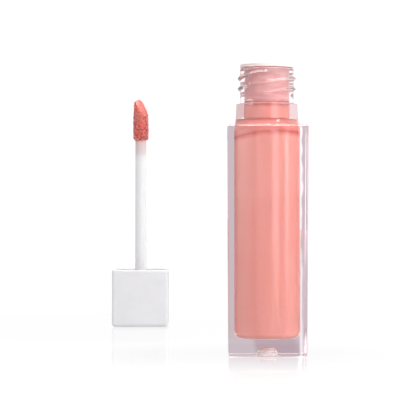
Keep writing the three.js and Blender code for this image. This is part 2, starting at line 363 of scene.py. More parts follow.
def thread_rise(z, angles, start_z, start_deg, depth):
    """How far the two thread ridges stand out of the wall at a height, all round."""
    degrees = np.degrees(angles)
    rise = np.zeros(angles.shape)
    for start in (start_deg, start_deg + 180):
        for lap in range(-2, 4):
            along = degrees + 360 * lap - start
            centre = start_z + THREAD_LEAD * along / 360
            away = np.abs(z - centre)
            across = np.minimum(away / THREAD_HALF_WIDTH, 1)
            ends = np.clip(np.minimum(along, THREAD_SWEEP_DEG - along) / THREAD_FADE_DEG, 0, 1)
            ridge = (0.5 + 0.5 * np.cos(math.pi * across)) * ends * ends * (3 - 2 * ends)
            rise = np.maximum(rise, ridge)
    return depth * rise


# ---------------------------------------------------------------- materials
def new_material(name, **sockets):
    """A Principled material with plain values on its sockets; returns it and its node tree."""
    material = bpy.data.materials.new(name)
    material.use_nodes = True
    tree = material.node_tree
    shader = tree.nodes["Principled BSDF"]
    for socket, value in sockets.items():
        shader.inputs[socket.replace("_", " ")].default_value = value
    return material, tree


def add_place(tree):
    """Positions on the object, and the same split into X, Y and Z."""
    place = tree.nodes.new("ShaderNodeTexCoord").outputs["Object"]
    return place, add_split(tree, place)


def add_split(tree, vector):
    split = tree.nodes.new("ShaderNodeSeparateXYZ")
    tree.links.new(vector, split.inputs["Vector"])
    return split.outputs


def add_noise(tree, scale, detail=4.0, roughness=0.55, stretch=None):
    """A noise texture in object space, at a scale per metre."""
    place = tree.nodes.new("ShaderNodeTexCoord")
    texture = tree.nodes.new("ShaderNodeTexNoise")
    texture.inputs["Scale"].default_value = scale
    texture.inputs["Detail"].default_value = detail
    texture.inputs["Roughness"].default_value = roughness
    source = place.outputs["Object"]
    if stretch:
        mapping = tree.nodes.new("ShaderNodeMapping")
        mapping.inputs["Scale"].default_value = stretch
        tree.links.new(source, mapping.inputs["Vector"])
        source = mapping.outputs["Vector"]
    tree.links.new(source, texture.inputs["Vector"])
    return texture.outputs["Fac"]


def add_range(tree, factor, low, high):
    """Maps a 0 to 1 factor to a range of values; it goes on below 0 in the same way."""
    node = tree.nodes.new("ShaderNodeMapRange")
    node.clamp = False
    node.inputs["To Min"].default_value = low
    node.inputs["To Max"].default_value = high
    tree.links.new(factor, node.inputs["Value"])
    return node.outputs["Result"]


def add_math(tree, operation, first, second):
    node = tree.nodes.new("ShaderNodeMath")
    node.operation = operation
    for socket, value in zip(node.inputs, (first, second)):
        if isinstance(value, (int, float)):
            socket.default_value = value
        else:
            tree.links.new(value, socket)
    return node.outputs["Value"]


def add_ramp(tree, factor, stops):
    """A colour ramp from (position, colour) stops."""
    node = tree.nodes.new("ShaderNodeValToRGB")
    ramp = node.color_ramp
    while len(ramp.elements) < len(stops):
        ramp.elements.new(0.5)
    for element, (position, colour) in zip(ramp.elements, stops):
        element.position = position
        element.color = (*colour, 1)
    tree.links.new(factor, node.inputs["Fac"])
    return node.outputs["Color"]


def add_mix(tree, share, first, second):
    """From the first colour to the second; either may be a plain colour."""
    node = tree.nodes.new("ShaderNodeMixRGB")
    tree.links.new(share, node.inputs["Fac"])
    for socket, colour in ((node.inputs["Color1"], first), (node.inputs["Color2"], second)):
        if isinstance(colour, tuple):
            socket.default_value = (*colour, 1)
        else:
            tree.links.new(colour, socket)
    return node.outputs["Color"]


def add_bump(tree, height, strength, distance):
    node = tree.nodes.new("ShaderNodeBump")
    node.inputs["Strength"].default_value = strength
    node.inputs["Distance"].default_value = distance
    tree.links.new(height, node.inputs["Height"])
    tree.links.new(node.outputs["Normal"], tree.nodes["Principled BSDF"].inputs["Normal"])


def add_surface(tree, colour, grain, roughness, bump=None):
    """A colour, a roughness between two values, and a bump of (strength, distance) on a grain."""
    sockets = tree.nodes["Principled BSDF"].inputs
    tree.links.new(colour, sockets["Base Color"])
    tree.links.new(add_range(tree, grain, *roughness), sockets["Roughness"])
    if bump:
        add_bump(tree, grain, *bump)


def clear_plastic():
    """Thick polished clear plastic: a moulding ripple, haze on the thread, frost at the gate."""
    material, tree = new_material(
        "clear_plastic", Base_Color=(0.985, 0.97, 0.98, 1), IOR=1.49)
    sockets = tree.nodes["Principled BSDF"].inputs
    ripple = add_noise(tree, 90, 2)
    polished = add_range(tree, ripple, 0.0, 0.03)
    place, split = add_place(tree)
    low = add_math(tree, "LESS_THAN", split["Z"], (GATE_HEIGHT + 0.1) * MM)
    reach = (GATE_RADIUS + 0.2) * MM
    away = tree.nodes.new("ShaderNodeVectorMath")
    away.operation = "DISTANCE"
    away.inputs[1].default_value = (BOTTLE_AXIS.x * MM, BOTTLE_AXIS.y * MM, GATE_HEIGHT / 2 * MM)
    tree.links.new(place, away.inputs[0])
    near = add_math(tree, "LESS_THAN", away.outputs["Value"], reach)
    gate = add_math(tree, "MULTIPLY", low, near)
    frost = add_math(tree, "MULTIPLY", gate, GATE_FROST)
    tree.links.new(add_math(tree, "ADD", polished, frost), sockets["Roughness"])
    thread = add_math(tree, "GREATER_THAN", split["Z"], (COLLAR_TOP + 0.4) * MM)
    clear = 1.0
    for zone, haze in ((gate, GATE_HAZE), (thread, THREAD_HAZE)):
        clear = add_math(tree, "SUBTRACT", clear, add_math(tree, "MULTIPLY", zone, haze))
    tree.links.new(clear, sockets["Transmission Weight"])
    add_bump(tree, ripple, 0.05, 0.0004)
    tint = tree.nodes.new("ShaderNodeVolumeAbsorption")
    tint.inputs["Color"].default_value = (0.80, 0.66, 0.72, 1)
    tint.inputs["Density"].default_value = 18
    tree.links.new(tint.outputs["Volume"], tree.nodes["Material Output"].inputs["Volume"])
    return material


def add_lengths(tree, value, stops):
    """A colour ramp over a length from (millimetres, colour) stops."""
    low, high = stops[0][0], stops[-1][0]
    share = tree.nodes.new("ShaderNodeMapRange")
    share.inputs["From Min"].default_value = low * MM
    share.inputs["From Max"].default_value = high * MM
    tree.links.new(value, share.inputs["Value"])
    shares = [((mm - low) / (high - low), colour) for mm, colour in stops]
    return add_ramp(tree, share.outputs["Result"], shares)


def add_height(tree, stops, sag=0.0, middle=0.0):
    """A colour ramp up the object from (millimetres, colour) stops, sagging away from a middle."""
    split = add_place(tree)[1]
    aside = add_math(tree, "SUBTRACT", split["X"], middle * MM)
    lift = add_math(tree, "MULTIPLY", add_math(tree, "MULTIPLY", aside, aside), sag / MM)
    return add_lengths(tree, add_math(tree, "ADD", split["Z"], lift), stops)


def add_product(tree, first, second):
    node = tree.nodes.new("ShaderNodeMixRGB")
    node.blend_type = "MULTIPLY"
    node.inputs["Fac"].default_value = 1
    tree.links.new(first, node.inputs["Color1"])
    tree.links.new(second, node.inputs["Color2"])
    return node.outputs["Color"]


def gloss_liquid():
    """Creamy coral gloss with slow swirls, and painted shade: a dark line in the dome under the
    shoulder, and dark lines at the collar.
    """
    material, tree = new_material(
        "gloss_liquid", Roughness=0.2, IOR=1.7, Specular_IOR_Level=0.55,
        Subsurface_Weight=0.4, Subsurface_Scale=0.0015, Subsurface_Radius=(1.0, 0.42, 0.34))
    swirl = add_noise(tree, 160, 3, stretch=(1, 1, 0.35))
    colour = add_ramp(tree, swirl, [(0.3, (0.93, 0.355, 0.30)), (0.7, (0.97, 0.39, 0.33))])
    # Painted shade: a dark line in the gloss under the bottle's shoulder, lower away from its
    # middle.
    shoulder_shade = add_height(tree, [
        (47.7, WHITE), (48.35, (0.86, 0.62, 0.60)), (48.75, (0.68, 0.27, 0.26)),
        (49.1, (0.84, 0.58, 0.56)), (49.6, (0.94, 0.84, 0.86)), (50.2, (0.94, 0.84, 0.86)),
        (50.6, WHITE)], SHADE_LINE_SAG, BOTTLE_AXIS.x + SHADE_LINE_MIDDLE)
    # Painted shade: darker lines in the gloss at the foot and the top of the collar.
    above = add_height(tree, [
        (50.8, WHITE), (51.0, (0.94, 0.87, 0.87)), (51.45, (0.62, 0.36, 0.35)),
        (51.9, WHITE), (54.0, WHITE), (54.6, (0.72, 0.45, 0.43))])
    colour = add_product(tree, colour, add_product(tree, shoulder_shade, above))
    tree.links.new(colour, tree.nodes["Principled BSDF"].inputs["Base Color"])
    add_bump(tree, swirl, 0.08, 0.0003)
    return material


def wiper_plastic():
    """Milky translucent polyethylene stained by the gloss."""
    material, tree = new_material(
        "wiper_plastic", IOR=1.5, Subsurface_Weight=0.3, Subsurface_Scale=0.0002,
        Specular_IOR_Level=0.3, Subsurface_Radius=(1.0, 0.6, 0.5))
    cloud = add_noise(tree, 230, 3, stretch=(1, 1, 4.2))
    streaks = add_ramp(tree, cloud, [
        (0.38, (0.82, 0.31, 0.31)),
        (0.50, (0.89, 0.36, 0.35)),
        (0.62, (0.94, 0.46, 0.44)),
    ])
    pale = add_height(tree, [(62.4, BLACK), (63.1, WHITE)])
    colour = add_mix(tree, pale, streaks, (0.95, 0.78, 0.76))
    add_surface(tree, colour, cloud, (0.25, 0.45), (0.1, 0.0002))
    return material


def satin_plastic():
    """Satin white moulded plastic with a very fine spark-eroded grain."""
    material, tree = new_material(
        "satin_plastic", IOR=1.5, Subsurface_Weight=0.15, Subsurface_Scale=0.0008,
        Subsurface_Radius=(1.0, 0.9, 0.9))
    cloud = add_noise(tree, 260, 3)
    colour = add_ramp(tree, cloud, [(0.3, (0.80, 0.80, 0.815)), (0.7, (0.835, 0.835, 0.85))])
    grain = add_noise(tree, 9000, 2)
    add_surface(tree, colour, grain, (0.38, 0.52), (0.12, 0.00003))
    return material


def washer_foam():
    """Pressed foam liner: matte, slightly warm, with open cells."""
    material, tree = new_material("washer_foam", Specular_IOR_Level=0.25)
    cells = add_noise(tree, 3500, 2)
    colour = add_ramp(tree, cells, [(0.3, (0.70, 0.68, 0.65)), (0.7, (0.80, 0.79, 0.77))])
    add_surface(tree, colour, cells, (0.65, 0.85), (0.3, 0.00006))
    return material


def wand_plastic():
    """Natural white translucent rod, stained pink where the tip's spigot shows through."""
    material, tree = new_material(
        "wand_plastic", IOR=1.5, Subsurface_Weight=0.5, Subsurface_Scale=0.0012,
        Subsurface_Radius=(1.0, 0.95, 0.95))
    stained = SPIGOT_LENGTH + STAIN_REACH
    tones = [
        (0.0, (0.84, 0.84, 0.85)),
        (0.28, (0.82, 0.79, 0.80)),
        (0.42, (0.76, 0.66, 0.67)),
        (0.85, (0.74, 0.58, 0.58)),
        (1.0, (0.78, 0.42, 0.38)),
    ]
    stops = [(WAND_END - stained * (1 - share), tone) for share, tone in tones]
    colour = add_height(tree, stops)
    draw = add_noise(tree, 1500, 2, stretch=(1, 1, 0.08))
    add_surface(tree, colour, draw, (0.2, 0.34), (0.08, 0.00004))
    return material


def tip_elastomer():
    """Soft coral rubber, a little cloudy."""
    material, tree = new_material(
        "tip_elastomer", Subsurface_Weight=0.3, Subsurface_Scale=0.0008)
    cloud = add_noise(tree, 900, 3)
    colour = add_ramp(tree, cloud, [(0.3, (0.70, 0.30, 0.26)), (0.7, (0.78, 0.38, 0.33))])
    add_surface(tree, colour, cloud, (0.45, 0.6), (0.2, 0.0001))
    return material


def wet_flock():
    """Short nylon fibre matted with gloss: deep coral, with painted shade in the hollows between
    clumps, paler on the raised clumps.
    """
    material, tree = new_material(
        "wet_flock", IOR=1.45, Subsurface_Weight=0.3, Subsurface_Scale=0.0005, Coat_Weight=0.1,
        Coat_Roughness=0.3, Sheen_Weight=0.2, Sheen_Roughness=0.3, Sheen_Tint=(0.95, 0.70, 0.80, 1),
        Subsurface_Radius=(1.0, 0.35, 0.28))
    clumps = add_noise(tree, 2400, 2)
    # Painted shade: the colour is darkest where the bump's clumps are lowest, in the hollows.
    colour = add_ramp(tree, clumps, [
        (0.40, (0.50, 0.03, 0.025)),
        (0.50, (0.93, 0.17, 0.13)),
        (0.60, (1.0, 0.30, 0.25)),
    ])
    smooth = add_height(tree, [(FLOCK_TOP - 5.0, BLACK), (FLOCK_TOP - 0.5, WHITE)])
    colour = add_mix(tree, smooth, colour, (0.84, 0.19, 0.14))
    add_surface(tree, colour, clumps, (0.5, 0.25), (0.5, 0.00015))
    return material


def flock_fibre():
    """Fibres loaded with gloss, paler at some clumps than at others."""
    material, tree = new_material(
        "flock_fibre", IOR=1.45, Subsurface_Weight=0.2, Subsurface_Scale=0.0003, Coat_Weight=0.5,
        Coat_Roughness=0.1, Sheen_Weight=0.2, Sheen_Roughness=0.3, Sheen_Tint=(0.95, 0.76, 0.86, 1))
    clumps = add_noise(tree, 2400, 2)
    colour = add_ramp(tree, clumps, [
        (0.40, (0.60, 0.05, 0.035)),
        (0.50, (0.95, 0.28, 0.23)),
        (0.60, (1.0, 0.60, 0.57)),
    ])
    add_surface(tree, colour, clumps, (0.45, 0.25))
    return material


# ---------------------------------------------------------------- bottle
def bottle_outline():
    """Turned profile of the neck from the shoulder to the rim, without the thread."""
    foot = (COLLAR_FOOT_RADIUS, BODY_HEIGHT)
    sweep = [(COLLAR_BOTTOM_RADIUS + (COLLAR_FOOT_RADIUS - COLLAR_BOTTOM_RADIUS) * (1 - s) ** 2,
              BODY_HEIGHT + (COLLAR_BOTTOM - BODY_HEIGHT) * s) for s in np.linspace(0, 1, 9)[1:]]
    edge = 0.25
    fillet = 0.15
    profile = [foot, *sweep]
    profile += line(sweep[-1], (COLLAR_TOP_RADIUS, COLLAR_TOP - edge), 6)
    profile += arc(COLLAR_TOP_RADIUS - edge, COLLAR_TOP - edge, edge, 0, 90)[1:]
    profile += arc(NECK_RADIUS + fillet, COLLAR_TOP + fillet, fillet, 270, 180)
    profile += line((NECK_RADIUS, COLLAR_TOP + fillet), (NECK_RADIUS, NECK_TOP - RIM_EDGE), 150)
    profile += arc(NECK_RADIUS - RIM_EDGE, NECK_TOP - RIM_EDGE, RIM_EDGE, 0, 90)[1:]
    return profile


def cavity_outline(spare=0.0):
    """Turned profile from the bore's top down to the cavity floor; spare makes it larger."""
    bore = LOWER_BORE_RADIUS + spare
    wall = CAVITY_RADIUS + spare
    dome = CAVITY_TOP_ROUND
    top = CAVITY_TOP + spare
    floor = CAVITY_FLOOR - spare
    bore_edge = 0.2
    dome_z = CAVITY_TOP - dome
    profile = line((bore, LIQUID_TOP), (bore, top + bore_edge), 16)
    profile += arc(bore + bore_edge, top + bore_edge, bore_edge, 180, 270)[1:]
    profile += line((bore + bore_edge, top), (CAVITY_RADIUS - dome, top), 3)
    profile += arc(CAVITY_RADIUS - dome, dome_z, dome + spare, 90, 0, 20)[1:]
    corner_z = floor + CAVITY_DOME + CAVITY_FLOOR_ROUND
    profile += line((wall, dome_z), (wall, corner_z), 60)
    profile += arc(wall - CAVITY_FLOOR_ROUND, corner_z, CAVITY_FLOOR_ROUND, 0, -90, 12)[1:]
    edge = wall - CAVITY_FLOOR_ROUND
    for share in np.linspace(0, 1, 12)[1:]:
        radius = edge * (1 - share)
        profile.append((radius, floor + CAVITY_DOME * (radius / edge) ** 2))
    return profile


def gate_rings(angles):
    """The recess under the base, with a grooved wall and a small nub left by the gate."""
    rings = [pole(GATE_HEIGHT + GATE_NUB_TIP)]
    rings += [ring(radius, GATE_HEIGHT + below, angles) for radius, below in GATE_NUB]
    nub = GATE_NUB[-1][0]
    for share in np.linspace(0, 1, 6)[1:-1]:
        rings.append(ring(nub + (GATE_FLAT_SHARE * GATE_RADIUS - nub) * share, GATE_HEIGHT, angles))
    for turn in np.radians(np.linspace(90, 0, 60)):
        groove = GATE_GROOVE_DEPTH * math.sin(math.tau * GATE_GROOVES * math.sin(turn))
        radius = GATE_RADIUS * (GATE_FLAT_SHARE + (1 - GATE_FLAT_SHARE) * math.cos(turn)) + groove
        rings.append(ring(radius, GATE_HEIGHT * math.sin(turn), angles))
    return rings


def half_at(z):
    """Half of the body's width at a height."""
    return BODY_BASE_HALF + (BODY_TOP_HALF - BODY_BASE_HALF) * z / BODY_HEIGHT


def body_rings(angles):
    """The square body from its base to the foot of the collar."""
    rings = []
    rim = square_radius(BODY_BASE_HALF - BASE_EDGE, BODY_CORNER, angles)
    for share in np.linspace(0, 1, 9)[1:]:
        rings.append(ring(GATE_RADIUS + (rim - GATE_RADIUS) * share, 0, angles))
    for turn in np.radians(np.linspace(0, 90, 8)[1:]):
        z = BASE_EDGE * (1 - math.cos(turn))
        half = half_at(z) - BASE_EDGE * (1 - math.sin(turn))
        rings.append(ring(square_radius(half, BODY_CORNER, angles), z, angles))
    for z in np.linspace(BASE_EDGE, BODY_HEIGHT - SHOULDER_EDGE, 26)[1:]:
        rings.append(ring(square_radius(half_at(z), BODY_CORNER, angles), z, angles))
    for turn in np.radians(np.linspace(0, 90, 8)[1:]):
        z = BODY_HEIGHT - SHOULDER_EDGE * (1 - math.sin(turn))
        half = half_at(z) - SHOULDER_EDGE * (1 - math.cos(turn))
        rings.append(ring(square_radius(half, BODY_CORNER, angles), z, angles))
    edge = square_radius(BODY_TOP_HALF - SHOULDER_EDGE, BODY_CORNER, angles)
    for share in np.linspace(0, 1, 8)[1:-1]:
        rings.append(ring(edge + (COLLAR_FOOT_RADIUS - edge) * share, BODY_HEIGHT, angles))
    return rings


def make_bottle(material):
    """The thick plastic: outside from the gate mark to the rim, then down inside to the floor."""
    angles = SQUARE_ANGLES
    rings = gate_rings(angles) + body_rings(angles)
    for radius, z in bottle_outline():
        rise = thread_rise(z, angles, **NECK_THREAD) if radius == NECK_RADIUS else 0
        rings.append(ring(radius + rise, z, angles))
    lip = BORE_LIP
    inside = line((NECK_RADIUS - RIM_EDGE, NECK_TOP), (BORE_RADIUS + lip, NECK_TOP), 6)
    inside += arc(BORE_RADIUS + lip, NECK_TOP - lip, lip, 90, 180)[1:]
    inside += line((BORE_RADIUS, NECK_TOP - lip), (BORE_RADIUS, BORE_STEP_TOP), 16)
    inside += line((BORE_RADIUS, BORE_STEP_TOP), (LOWER_BORE_RADIUS, LIQUID_TOP), 3)
    rings += turned(inside + cavity_outline(), angles)
    geometry = rings_to_geometry(rings)
    return make_object("bottle_clear", [geometry], material, "bottle", ["bottle"])


# ---------------------------------------------------------------- gloss and wiper
def make_gloss(material):
    """The liquid, wet against the bottle's inside up to the wiper, and its film in the wiper."""
    wall = BORE_RADIUS + WET_OVERLAP
    under = (WIPER_HOLE + 0.2, LIQUID_TOP)
    climb = (wall, WIPER_CONE - 0.15)
    profile = [(0, LIQUID_TOP), *line((0, LIQUID_TOP), under, 5)]
    profile += line(under, climb, 5)
    profile += line(climb, (wall, BORE_STEP_TOP), 4)
    profile += cavity_outline(WET_OVERLAP)
    liquid = rings_to_geometry(turned(profile, ROUND_ANGLES))
    outer = WIPER_INNER + SLEEVE_OVERLAP
    bottom = WIPER_CONE + 0.6
    film_top = WIPER_TOP - 0.5
    rings = []
    for z in np.linspace(bottom, film_top, 40):
        rings.append(ring(outer, z, ROUND_ANGLES))
    for z in np.linspace(film_top, bottom, 40):
        waves = np.sin(3 * ROUND_ANGLES + 1.3 * z) * np.sin(ROUND_ANGLES * 2 - 0.7 * z)
        rings.append(ring(outer - FILM_THICKNESS - FILM_WAVES * waves, z, ROUND_ANGLES))
    film = rings_to_geometry(rings, closed=True)
    return make_object("gloss", [liquid, film], material, "bottle", ["gloss_fill"])


def make_wiper(material):
    """A sleeve with a flange on the bottle's rim and a cone that ends in the wiping hole."""
    wall = WIPER_WALL
    flange_under = WIPER_TOP - WIPER_FLANGE
    edge = 0.12
    flange = WIPER_FLANGE_RADIUS
    hole = WIPER_HOLE + wall / 2
    profile = line((WIPER_INNER + edge, WIPER_TOP), (flange - edge, WIPER_TOP), 8)
    profile += arc(flange - edge, WIPER_TOP - edge, edge, 90, 0)
    profile += line((flange, WIPER_TOP - edge), (flange, flange_under + edge), 3)
    profile += arc(flange - edge, flange_under + edge, edge, 0, -90)
    profile += line((flange - edge, flange_under), (WIPER_OUTER, flange_under), 6)
    profile += line((WIPER_OUTER, flange_under), (WIPER_OUTER, WIPER_CONE), 20)
    profile += line((WIPER_OUTER, WIPER_CONE), (hole, WIPER_BOTTOM), 8)
    profile += arc(hole, WIPER_BOTTOM + wall / 2, wall / 2, 270, 90, 8)
    profile += line((hole, WIPER_BOTTOM + wall), (WIPER_INNER, WIPER_CONE + wall), 8)
    profile += line((WIPER_INNER, WIPER_CONE + wall), (WIPER_INNER, WIPER_TOP - edge), 24)
    profile += arc(WIPER_INNER + edge, WIPER_TOP - edge, edge, 180, 90)[1:]
    geometry = rings_to_geometry(turned(profile, ROUND_ANGLES), closed=True)
    return make_object("wiper_sleeve", [geometry], material, "bottle", ["wiper"])


# ---------------------------------------------------------------- cap
def make_cap(material):
    """The square shell, closed end down, with its threaded bore and the socket for the wand."""
    angles = SQUARE_ANGLES
    rings = [pole(0)]
    face = square_radius(CAP_HALF - CAP_CLOSED_EDGE, CAP_CORNER, angles)
    for share in np.linspace(0, 1, 9)[1:]:
        rings.append(ring(face * share, 0, angles))
    for turn in np.radians(np.linspace(0, 90, 10)[1:]):
        z = CAP_CLOSED_EDGE * (1 - math.cos(turn))
        half = CAP_HALF - CAP_CLOSED_EDGE * (1 - math.sin(turn))
        rings.append(ring(square_radius(half, CAP_CORNER, angles), z, angles))
    for z in np.linspace(CAP_CLOSED_EDGE, CAP_HEIGHT - CAP_RIM_EDGE, 14)[1:]:
        rings.append(ring(square_radius(CAP_HALF, CAP_CORNER, angles), z, angles))
    for turn in np.radians(np.linspace(0, 90, 7)[1:]):
        z = CAP_HEIGHT - CAP_RIM_EDGE * (1 - math.sin(turn))
        half = CAP_HALF - CAP_RIM_EDGE * (1 - math.cos(turn))
        rings.append(ring(square_radius(half, CAP_CORNER, angles), z, angles))
    lead_in = 0.12
    edge = square_radius(CAP_HALF - CAP_RIM_EDGE, CAP_CORNER, angles)
    for share in np.linspace(0, 1, 6)[1:-1]:
        rings.append(ring(edge + (CAP_MOUTH + lead_in - edge) * share, CAP_HEIGHT, angles))
    step = CAP_MOUTH - CAP_BORE
    fillet = 0.3
    profile = arc(CAP_MOUTH + lead_in, CAP_HEIGHT - lead_in, lead_in, 90, 180)
    profile += line((CAP_MOUTH, CAP_HEIGHT - lead_in), (CAP_MOUTH, CAP_MOUTH_BOTTOM), 8)
    profile += line((CAP_MOUTH, CAP_MOUTH_BOTTOM), (CAP_BORE, CAP_MOUTH_BOTTOM - step), 3)
    profile += line((CAP_BORE, CAP_MOUTH_BOTTOM - step), (CAP_BORE, CAP_PLATE + fillet), 130)
    profile += arc(CAP_BORE - fillet, CAP_PLATE + fillet, fillet, 0, -90)[1:]
    profile += line((CAP_BORE - fillet, CAP_PLATE), (SOCKET_RADIUS + fillet, CAP_PLATE), 6)
    profile += arc(SOCKET_RADIUS + fillet, CAP_PLATE + fillet, fillet, 270, 180)[1:]
    profile += line((SOCKET_RADIUS, CAP_PLATE + fillet), (SOCKET_RADIUS, SOCKET_TOP - fillet), 6)
    profile += arc(SOCKET_RADIUS - fillet, SOCKET_TOP - fillet, fillet, 0, 90)[1:]
    hole = WAND_FOOT_RADIUS + 0.03
    profile += line((SOCKET_RADIUS - fillet, SOCKET_TOP), (hole, SOCKET_TOP), 2)
    profile += line((hole, SOCKET_TOP), (hole, SOCKET_FLOOR), 6)
    profile += line((hole, SOCKET_FLOOR), (0, SOCKET_FLOOR), 4)
    for radius, z in profile:
        rise = thread_rise(z, angles, **CAP_THREAD) if radius == CAP_BORE else 0
        rings.append(pole(z) if radius < 1e-6 else ring(radius + rise, z, angles))
    geometry = rings_to_geometry(rings)
    return make_object("cap_shell", [geometry], material, "applicator", ["cap"])


def make_washer(material):
    """The flat ring at the bottom of the cap's bore, round the socket."""
    bottom = CAP_PLATE + 0.02
    top = bottom + WASHER_HEIGHT
    inner = SOCKET_RADIUS + 0.12
    outer = CAP_BORE - 0.1
    edge = 0.15
    profile = arc(inner + edge, bottom + edge, edge, 270, 180)
    profile += arc(inner + edge, top - edge, edge, 180, 90)
    profile += line((inner + edge, top), (outer - edge, top), 8)
    profile += arc(outer - edge, top - edge, edge, 90, 0)
    profile += arc(outer - edge, bottom + edge, edge, 0, -90)
    profile += line((outer - edge, bottom), (inner + edge, bottom), 8)[:-1]
    geometry = rings_to_geometry(turned(profile, ROUND_ANGLES), closed=True)
    return make_object("washer", [geometry], material, "gasket", ["cap_gasket"])


# ---------------------------------------------------------------- wand and tip
def make_wand(material):
    """The slightly tapered rod, bored at its end for the spigot of the tip."""
    foot = SOCKET_FLOOR + 0.05
    edge = 0.2
    bore = SPIGOT_RADIUS + 0.03
    bore_floor = WAND_END - SPIGOT_LENGTH - 0.3
    profile = [(0, foot), *line((0, foot), (WAND_FOOT_RADIUS - edge, foot), 3)]
    profile += arc(WAND_FOOT_RADIUS - edge, foot + edge, edge, -90, 0)[1:]
    profile += line((WAND_FOOT_RADIUS, foot + edge), (WAND_FOOT_RADIUS, CAP_HEIGHT), 12)
    profile += line((WAND_FOOT_RADIUS, CAP_HEIGHT), (WAND_END_RADIUS, WAND_END - edge), 60)
    profile += arc(WAND_END_RADIUS - edge, WAND_END - edge, edge, 0, 90)[1:]
    profile += line((WAND_END_RADIUS - edge, WAND_END), (bore, WAND_END), 2)
    profile += line((bore, WAND_END), (bore, bore_floor), 10)
    profile += line((bore, bore_floor), (0, bore_floor), 3)
    geometry = rings_to_geometry(turned(profile, ROUND_ANGLES))
    return make_object("wand", [geometry], material, "applicator", ["wand_rod"])


def smooth_min(a, b, softness):
    """The smaller of two values, with the crease between them rounded."""
    h = np.clip(0.5 + 0.5 * (b - a) / softness, 0, 1)
    return b * (1 - h) + a * h - softness * h * (1 - h)


def doe_foot_rings(radius, bottom, top, inset, steps, softness, angles):
    """Rings of a finger with a slanted face: each is a circle cut by a rounded chord."""
    top_round = TIP_ROUND_SHARE * radius
    rings = []
    facing = np.array([math.cos(DOE_FACING), math.sin(DOE_FACING)])
    cut_z = DOE_CUT - inset / math.cos(DOE_TILT)
    shares = np.sin(np.linspace(0, math.pi / 2, steps + 1))
    for z in bottom + (top - bottom) * shares[:-1]:
        over = max(0.0, (z - (top - top_round)) / top_round)
        under = max(0.0, 1 - (z - bottom) / top_round)
        circle = radius * math.sqrt(max(0.0, 1 - over**2 - (0.6 * under) ** 2))
        reach = (cut_z - z) / math.tan(DOE_TILT)
        far = min(circle, reach)
        if far + circle < 0.04 * radius:
            break
        back = (far - circle) / 2
        centre = facing * back
        toward = np.cos(angles - DOE_FACING)
        along = back * toward
        round_edge = -along + np.sqrt(np.maximum(along**2 - back**2 + circle**2, 0))
        chord = np.where(toward > 1e-3, (reach - back) / np.maximum(toward, 1e-3), 9.0)
        edge = smooth_min(round_edge, np.minimum(chord, 9.0), softness * min(1.0, circle / radius))
        edge = np.maximum(edge, 0.02)
        points = ring(edge, z, angles)
        points[:, :2] += centre
        rings.append(points)
    tip = rings[-1].mean(0)
    tip[2] = rings[-1][0, 2] + 0.03
    rings.append(tip[None])
    return rings


def make_core(material):
    """The finger inside the flock, with its spigot."""
    foot = WAND_END - SPIGOT_LENGTH
    finger_bottom = WAND_END + 0.05
    edge = 0.15
    profile = [(0, foot), *line((0, foot), (SPIGOT_RADIUS - edge, foot), 2)]
    profile += arc(SPIGOT_RADIUS - edge, foot + edge, edge, -90, 0)[1:]
    profile += line((SPIGOT_RADIUS, foot + edge), (SPIGOT_RADIUS, finger_bottom), 10)
    rings = turned(profile, ROUND_ANGLES)
    rings += doe_foot_rings(
        CORE_RADIUS, finger_bottom, FLOCK_TOP - CORE_BELOW,
        CORE_INSET, 40, CORE_SOFTNESS, ROUND_ANGLES)
    geometry = rings_to_geometry(rings)
    return make_object(
        "tip_finger", [geometry], material, "applicator", ["tip_core"])


def tip_wetness(point):
    """0 where the fibres stand in clumps, 1 where gloss lies smooth over them near the point."""
    height = (point[2] - FLOCK_BOTTOM) / (FLOCK_TOP - FLOCK_BOTTOM)
    return float(np.clip((height - WET_FROM) / WET_OVER, 0, 1))


def make_flock(material):
    """The felted surface, pushed in and out in clumps, open underneath round the wand's end."""
    angles = ring_angles(180, 0)
    outer = doe_foot_rings(FLOCK_RADIUS, FLOCK_BOTTOM, FLOCK_TOP, 0, 110, FLOCK_SOFTNESS, angles)
    inner = doe_foot_rings(
        CORE_RADIUS + 0.03, FLOCK_BOTTOM, FLOCK_TOP - LINER_BELOW,
        LINER_INSET, 40, CORE_SOFTNESS, angles)
    for points in outer[:-1]:
        for point in points:
            away = Vector((point[0], point[1], 0)).normalized()
            dry = 1 - 0.85 * tip_wetness(point)
            seed = Vector(point) / CLUMP_SIZE
            lumps = noise.noise(seed) + 0.5 * noise.noise(seed * 2.3)
            push = CLUMP_PUSH * dry * lumps + 0.03 * noise.noise(seed * 0.4)
            point[0] += away.x * push
            point[1] += away.y * push
    rings = list(reversed(inner)) + outer
    geometry = rings_to_geometry(rings)
    return make_object("tip_felt", [geometry], material, "applicator", ["tip_flock"])


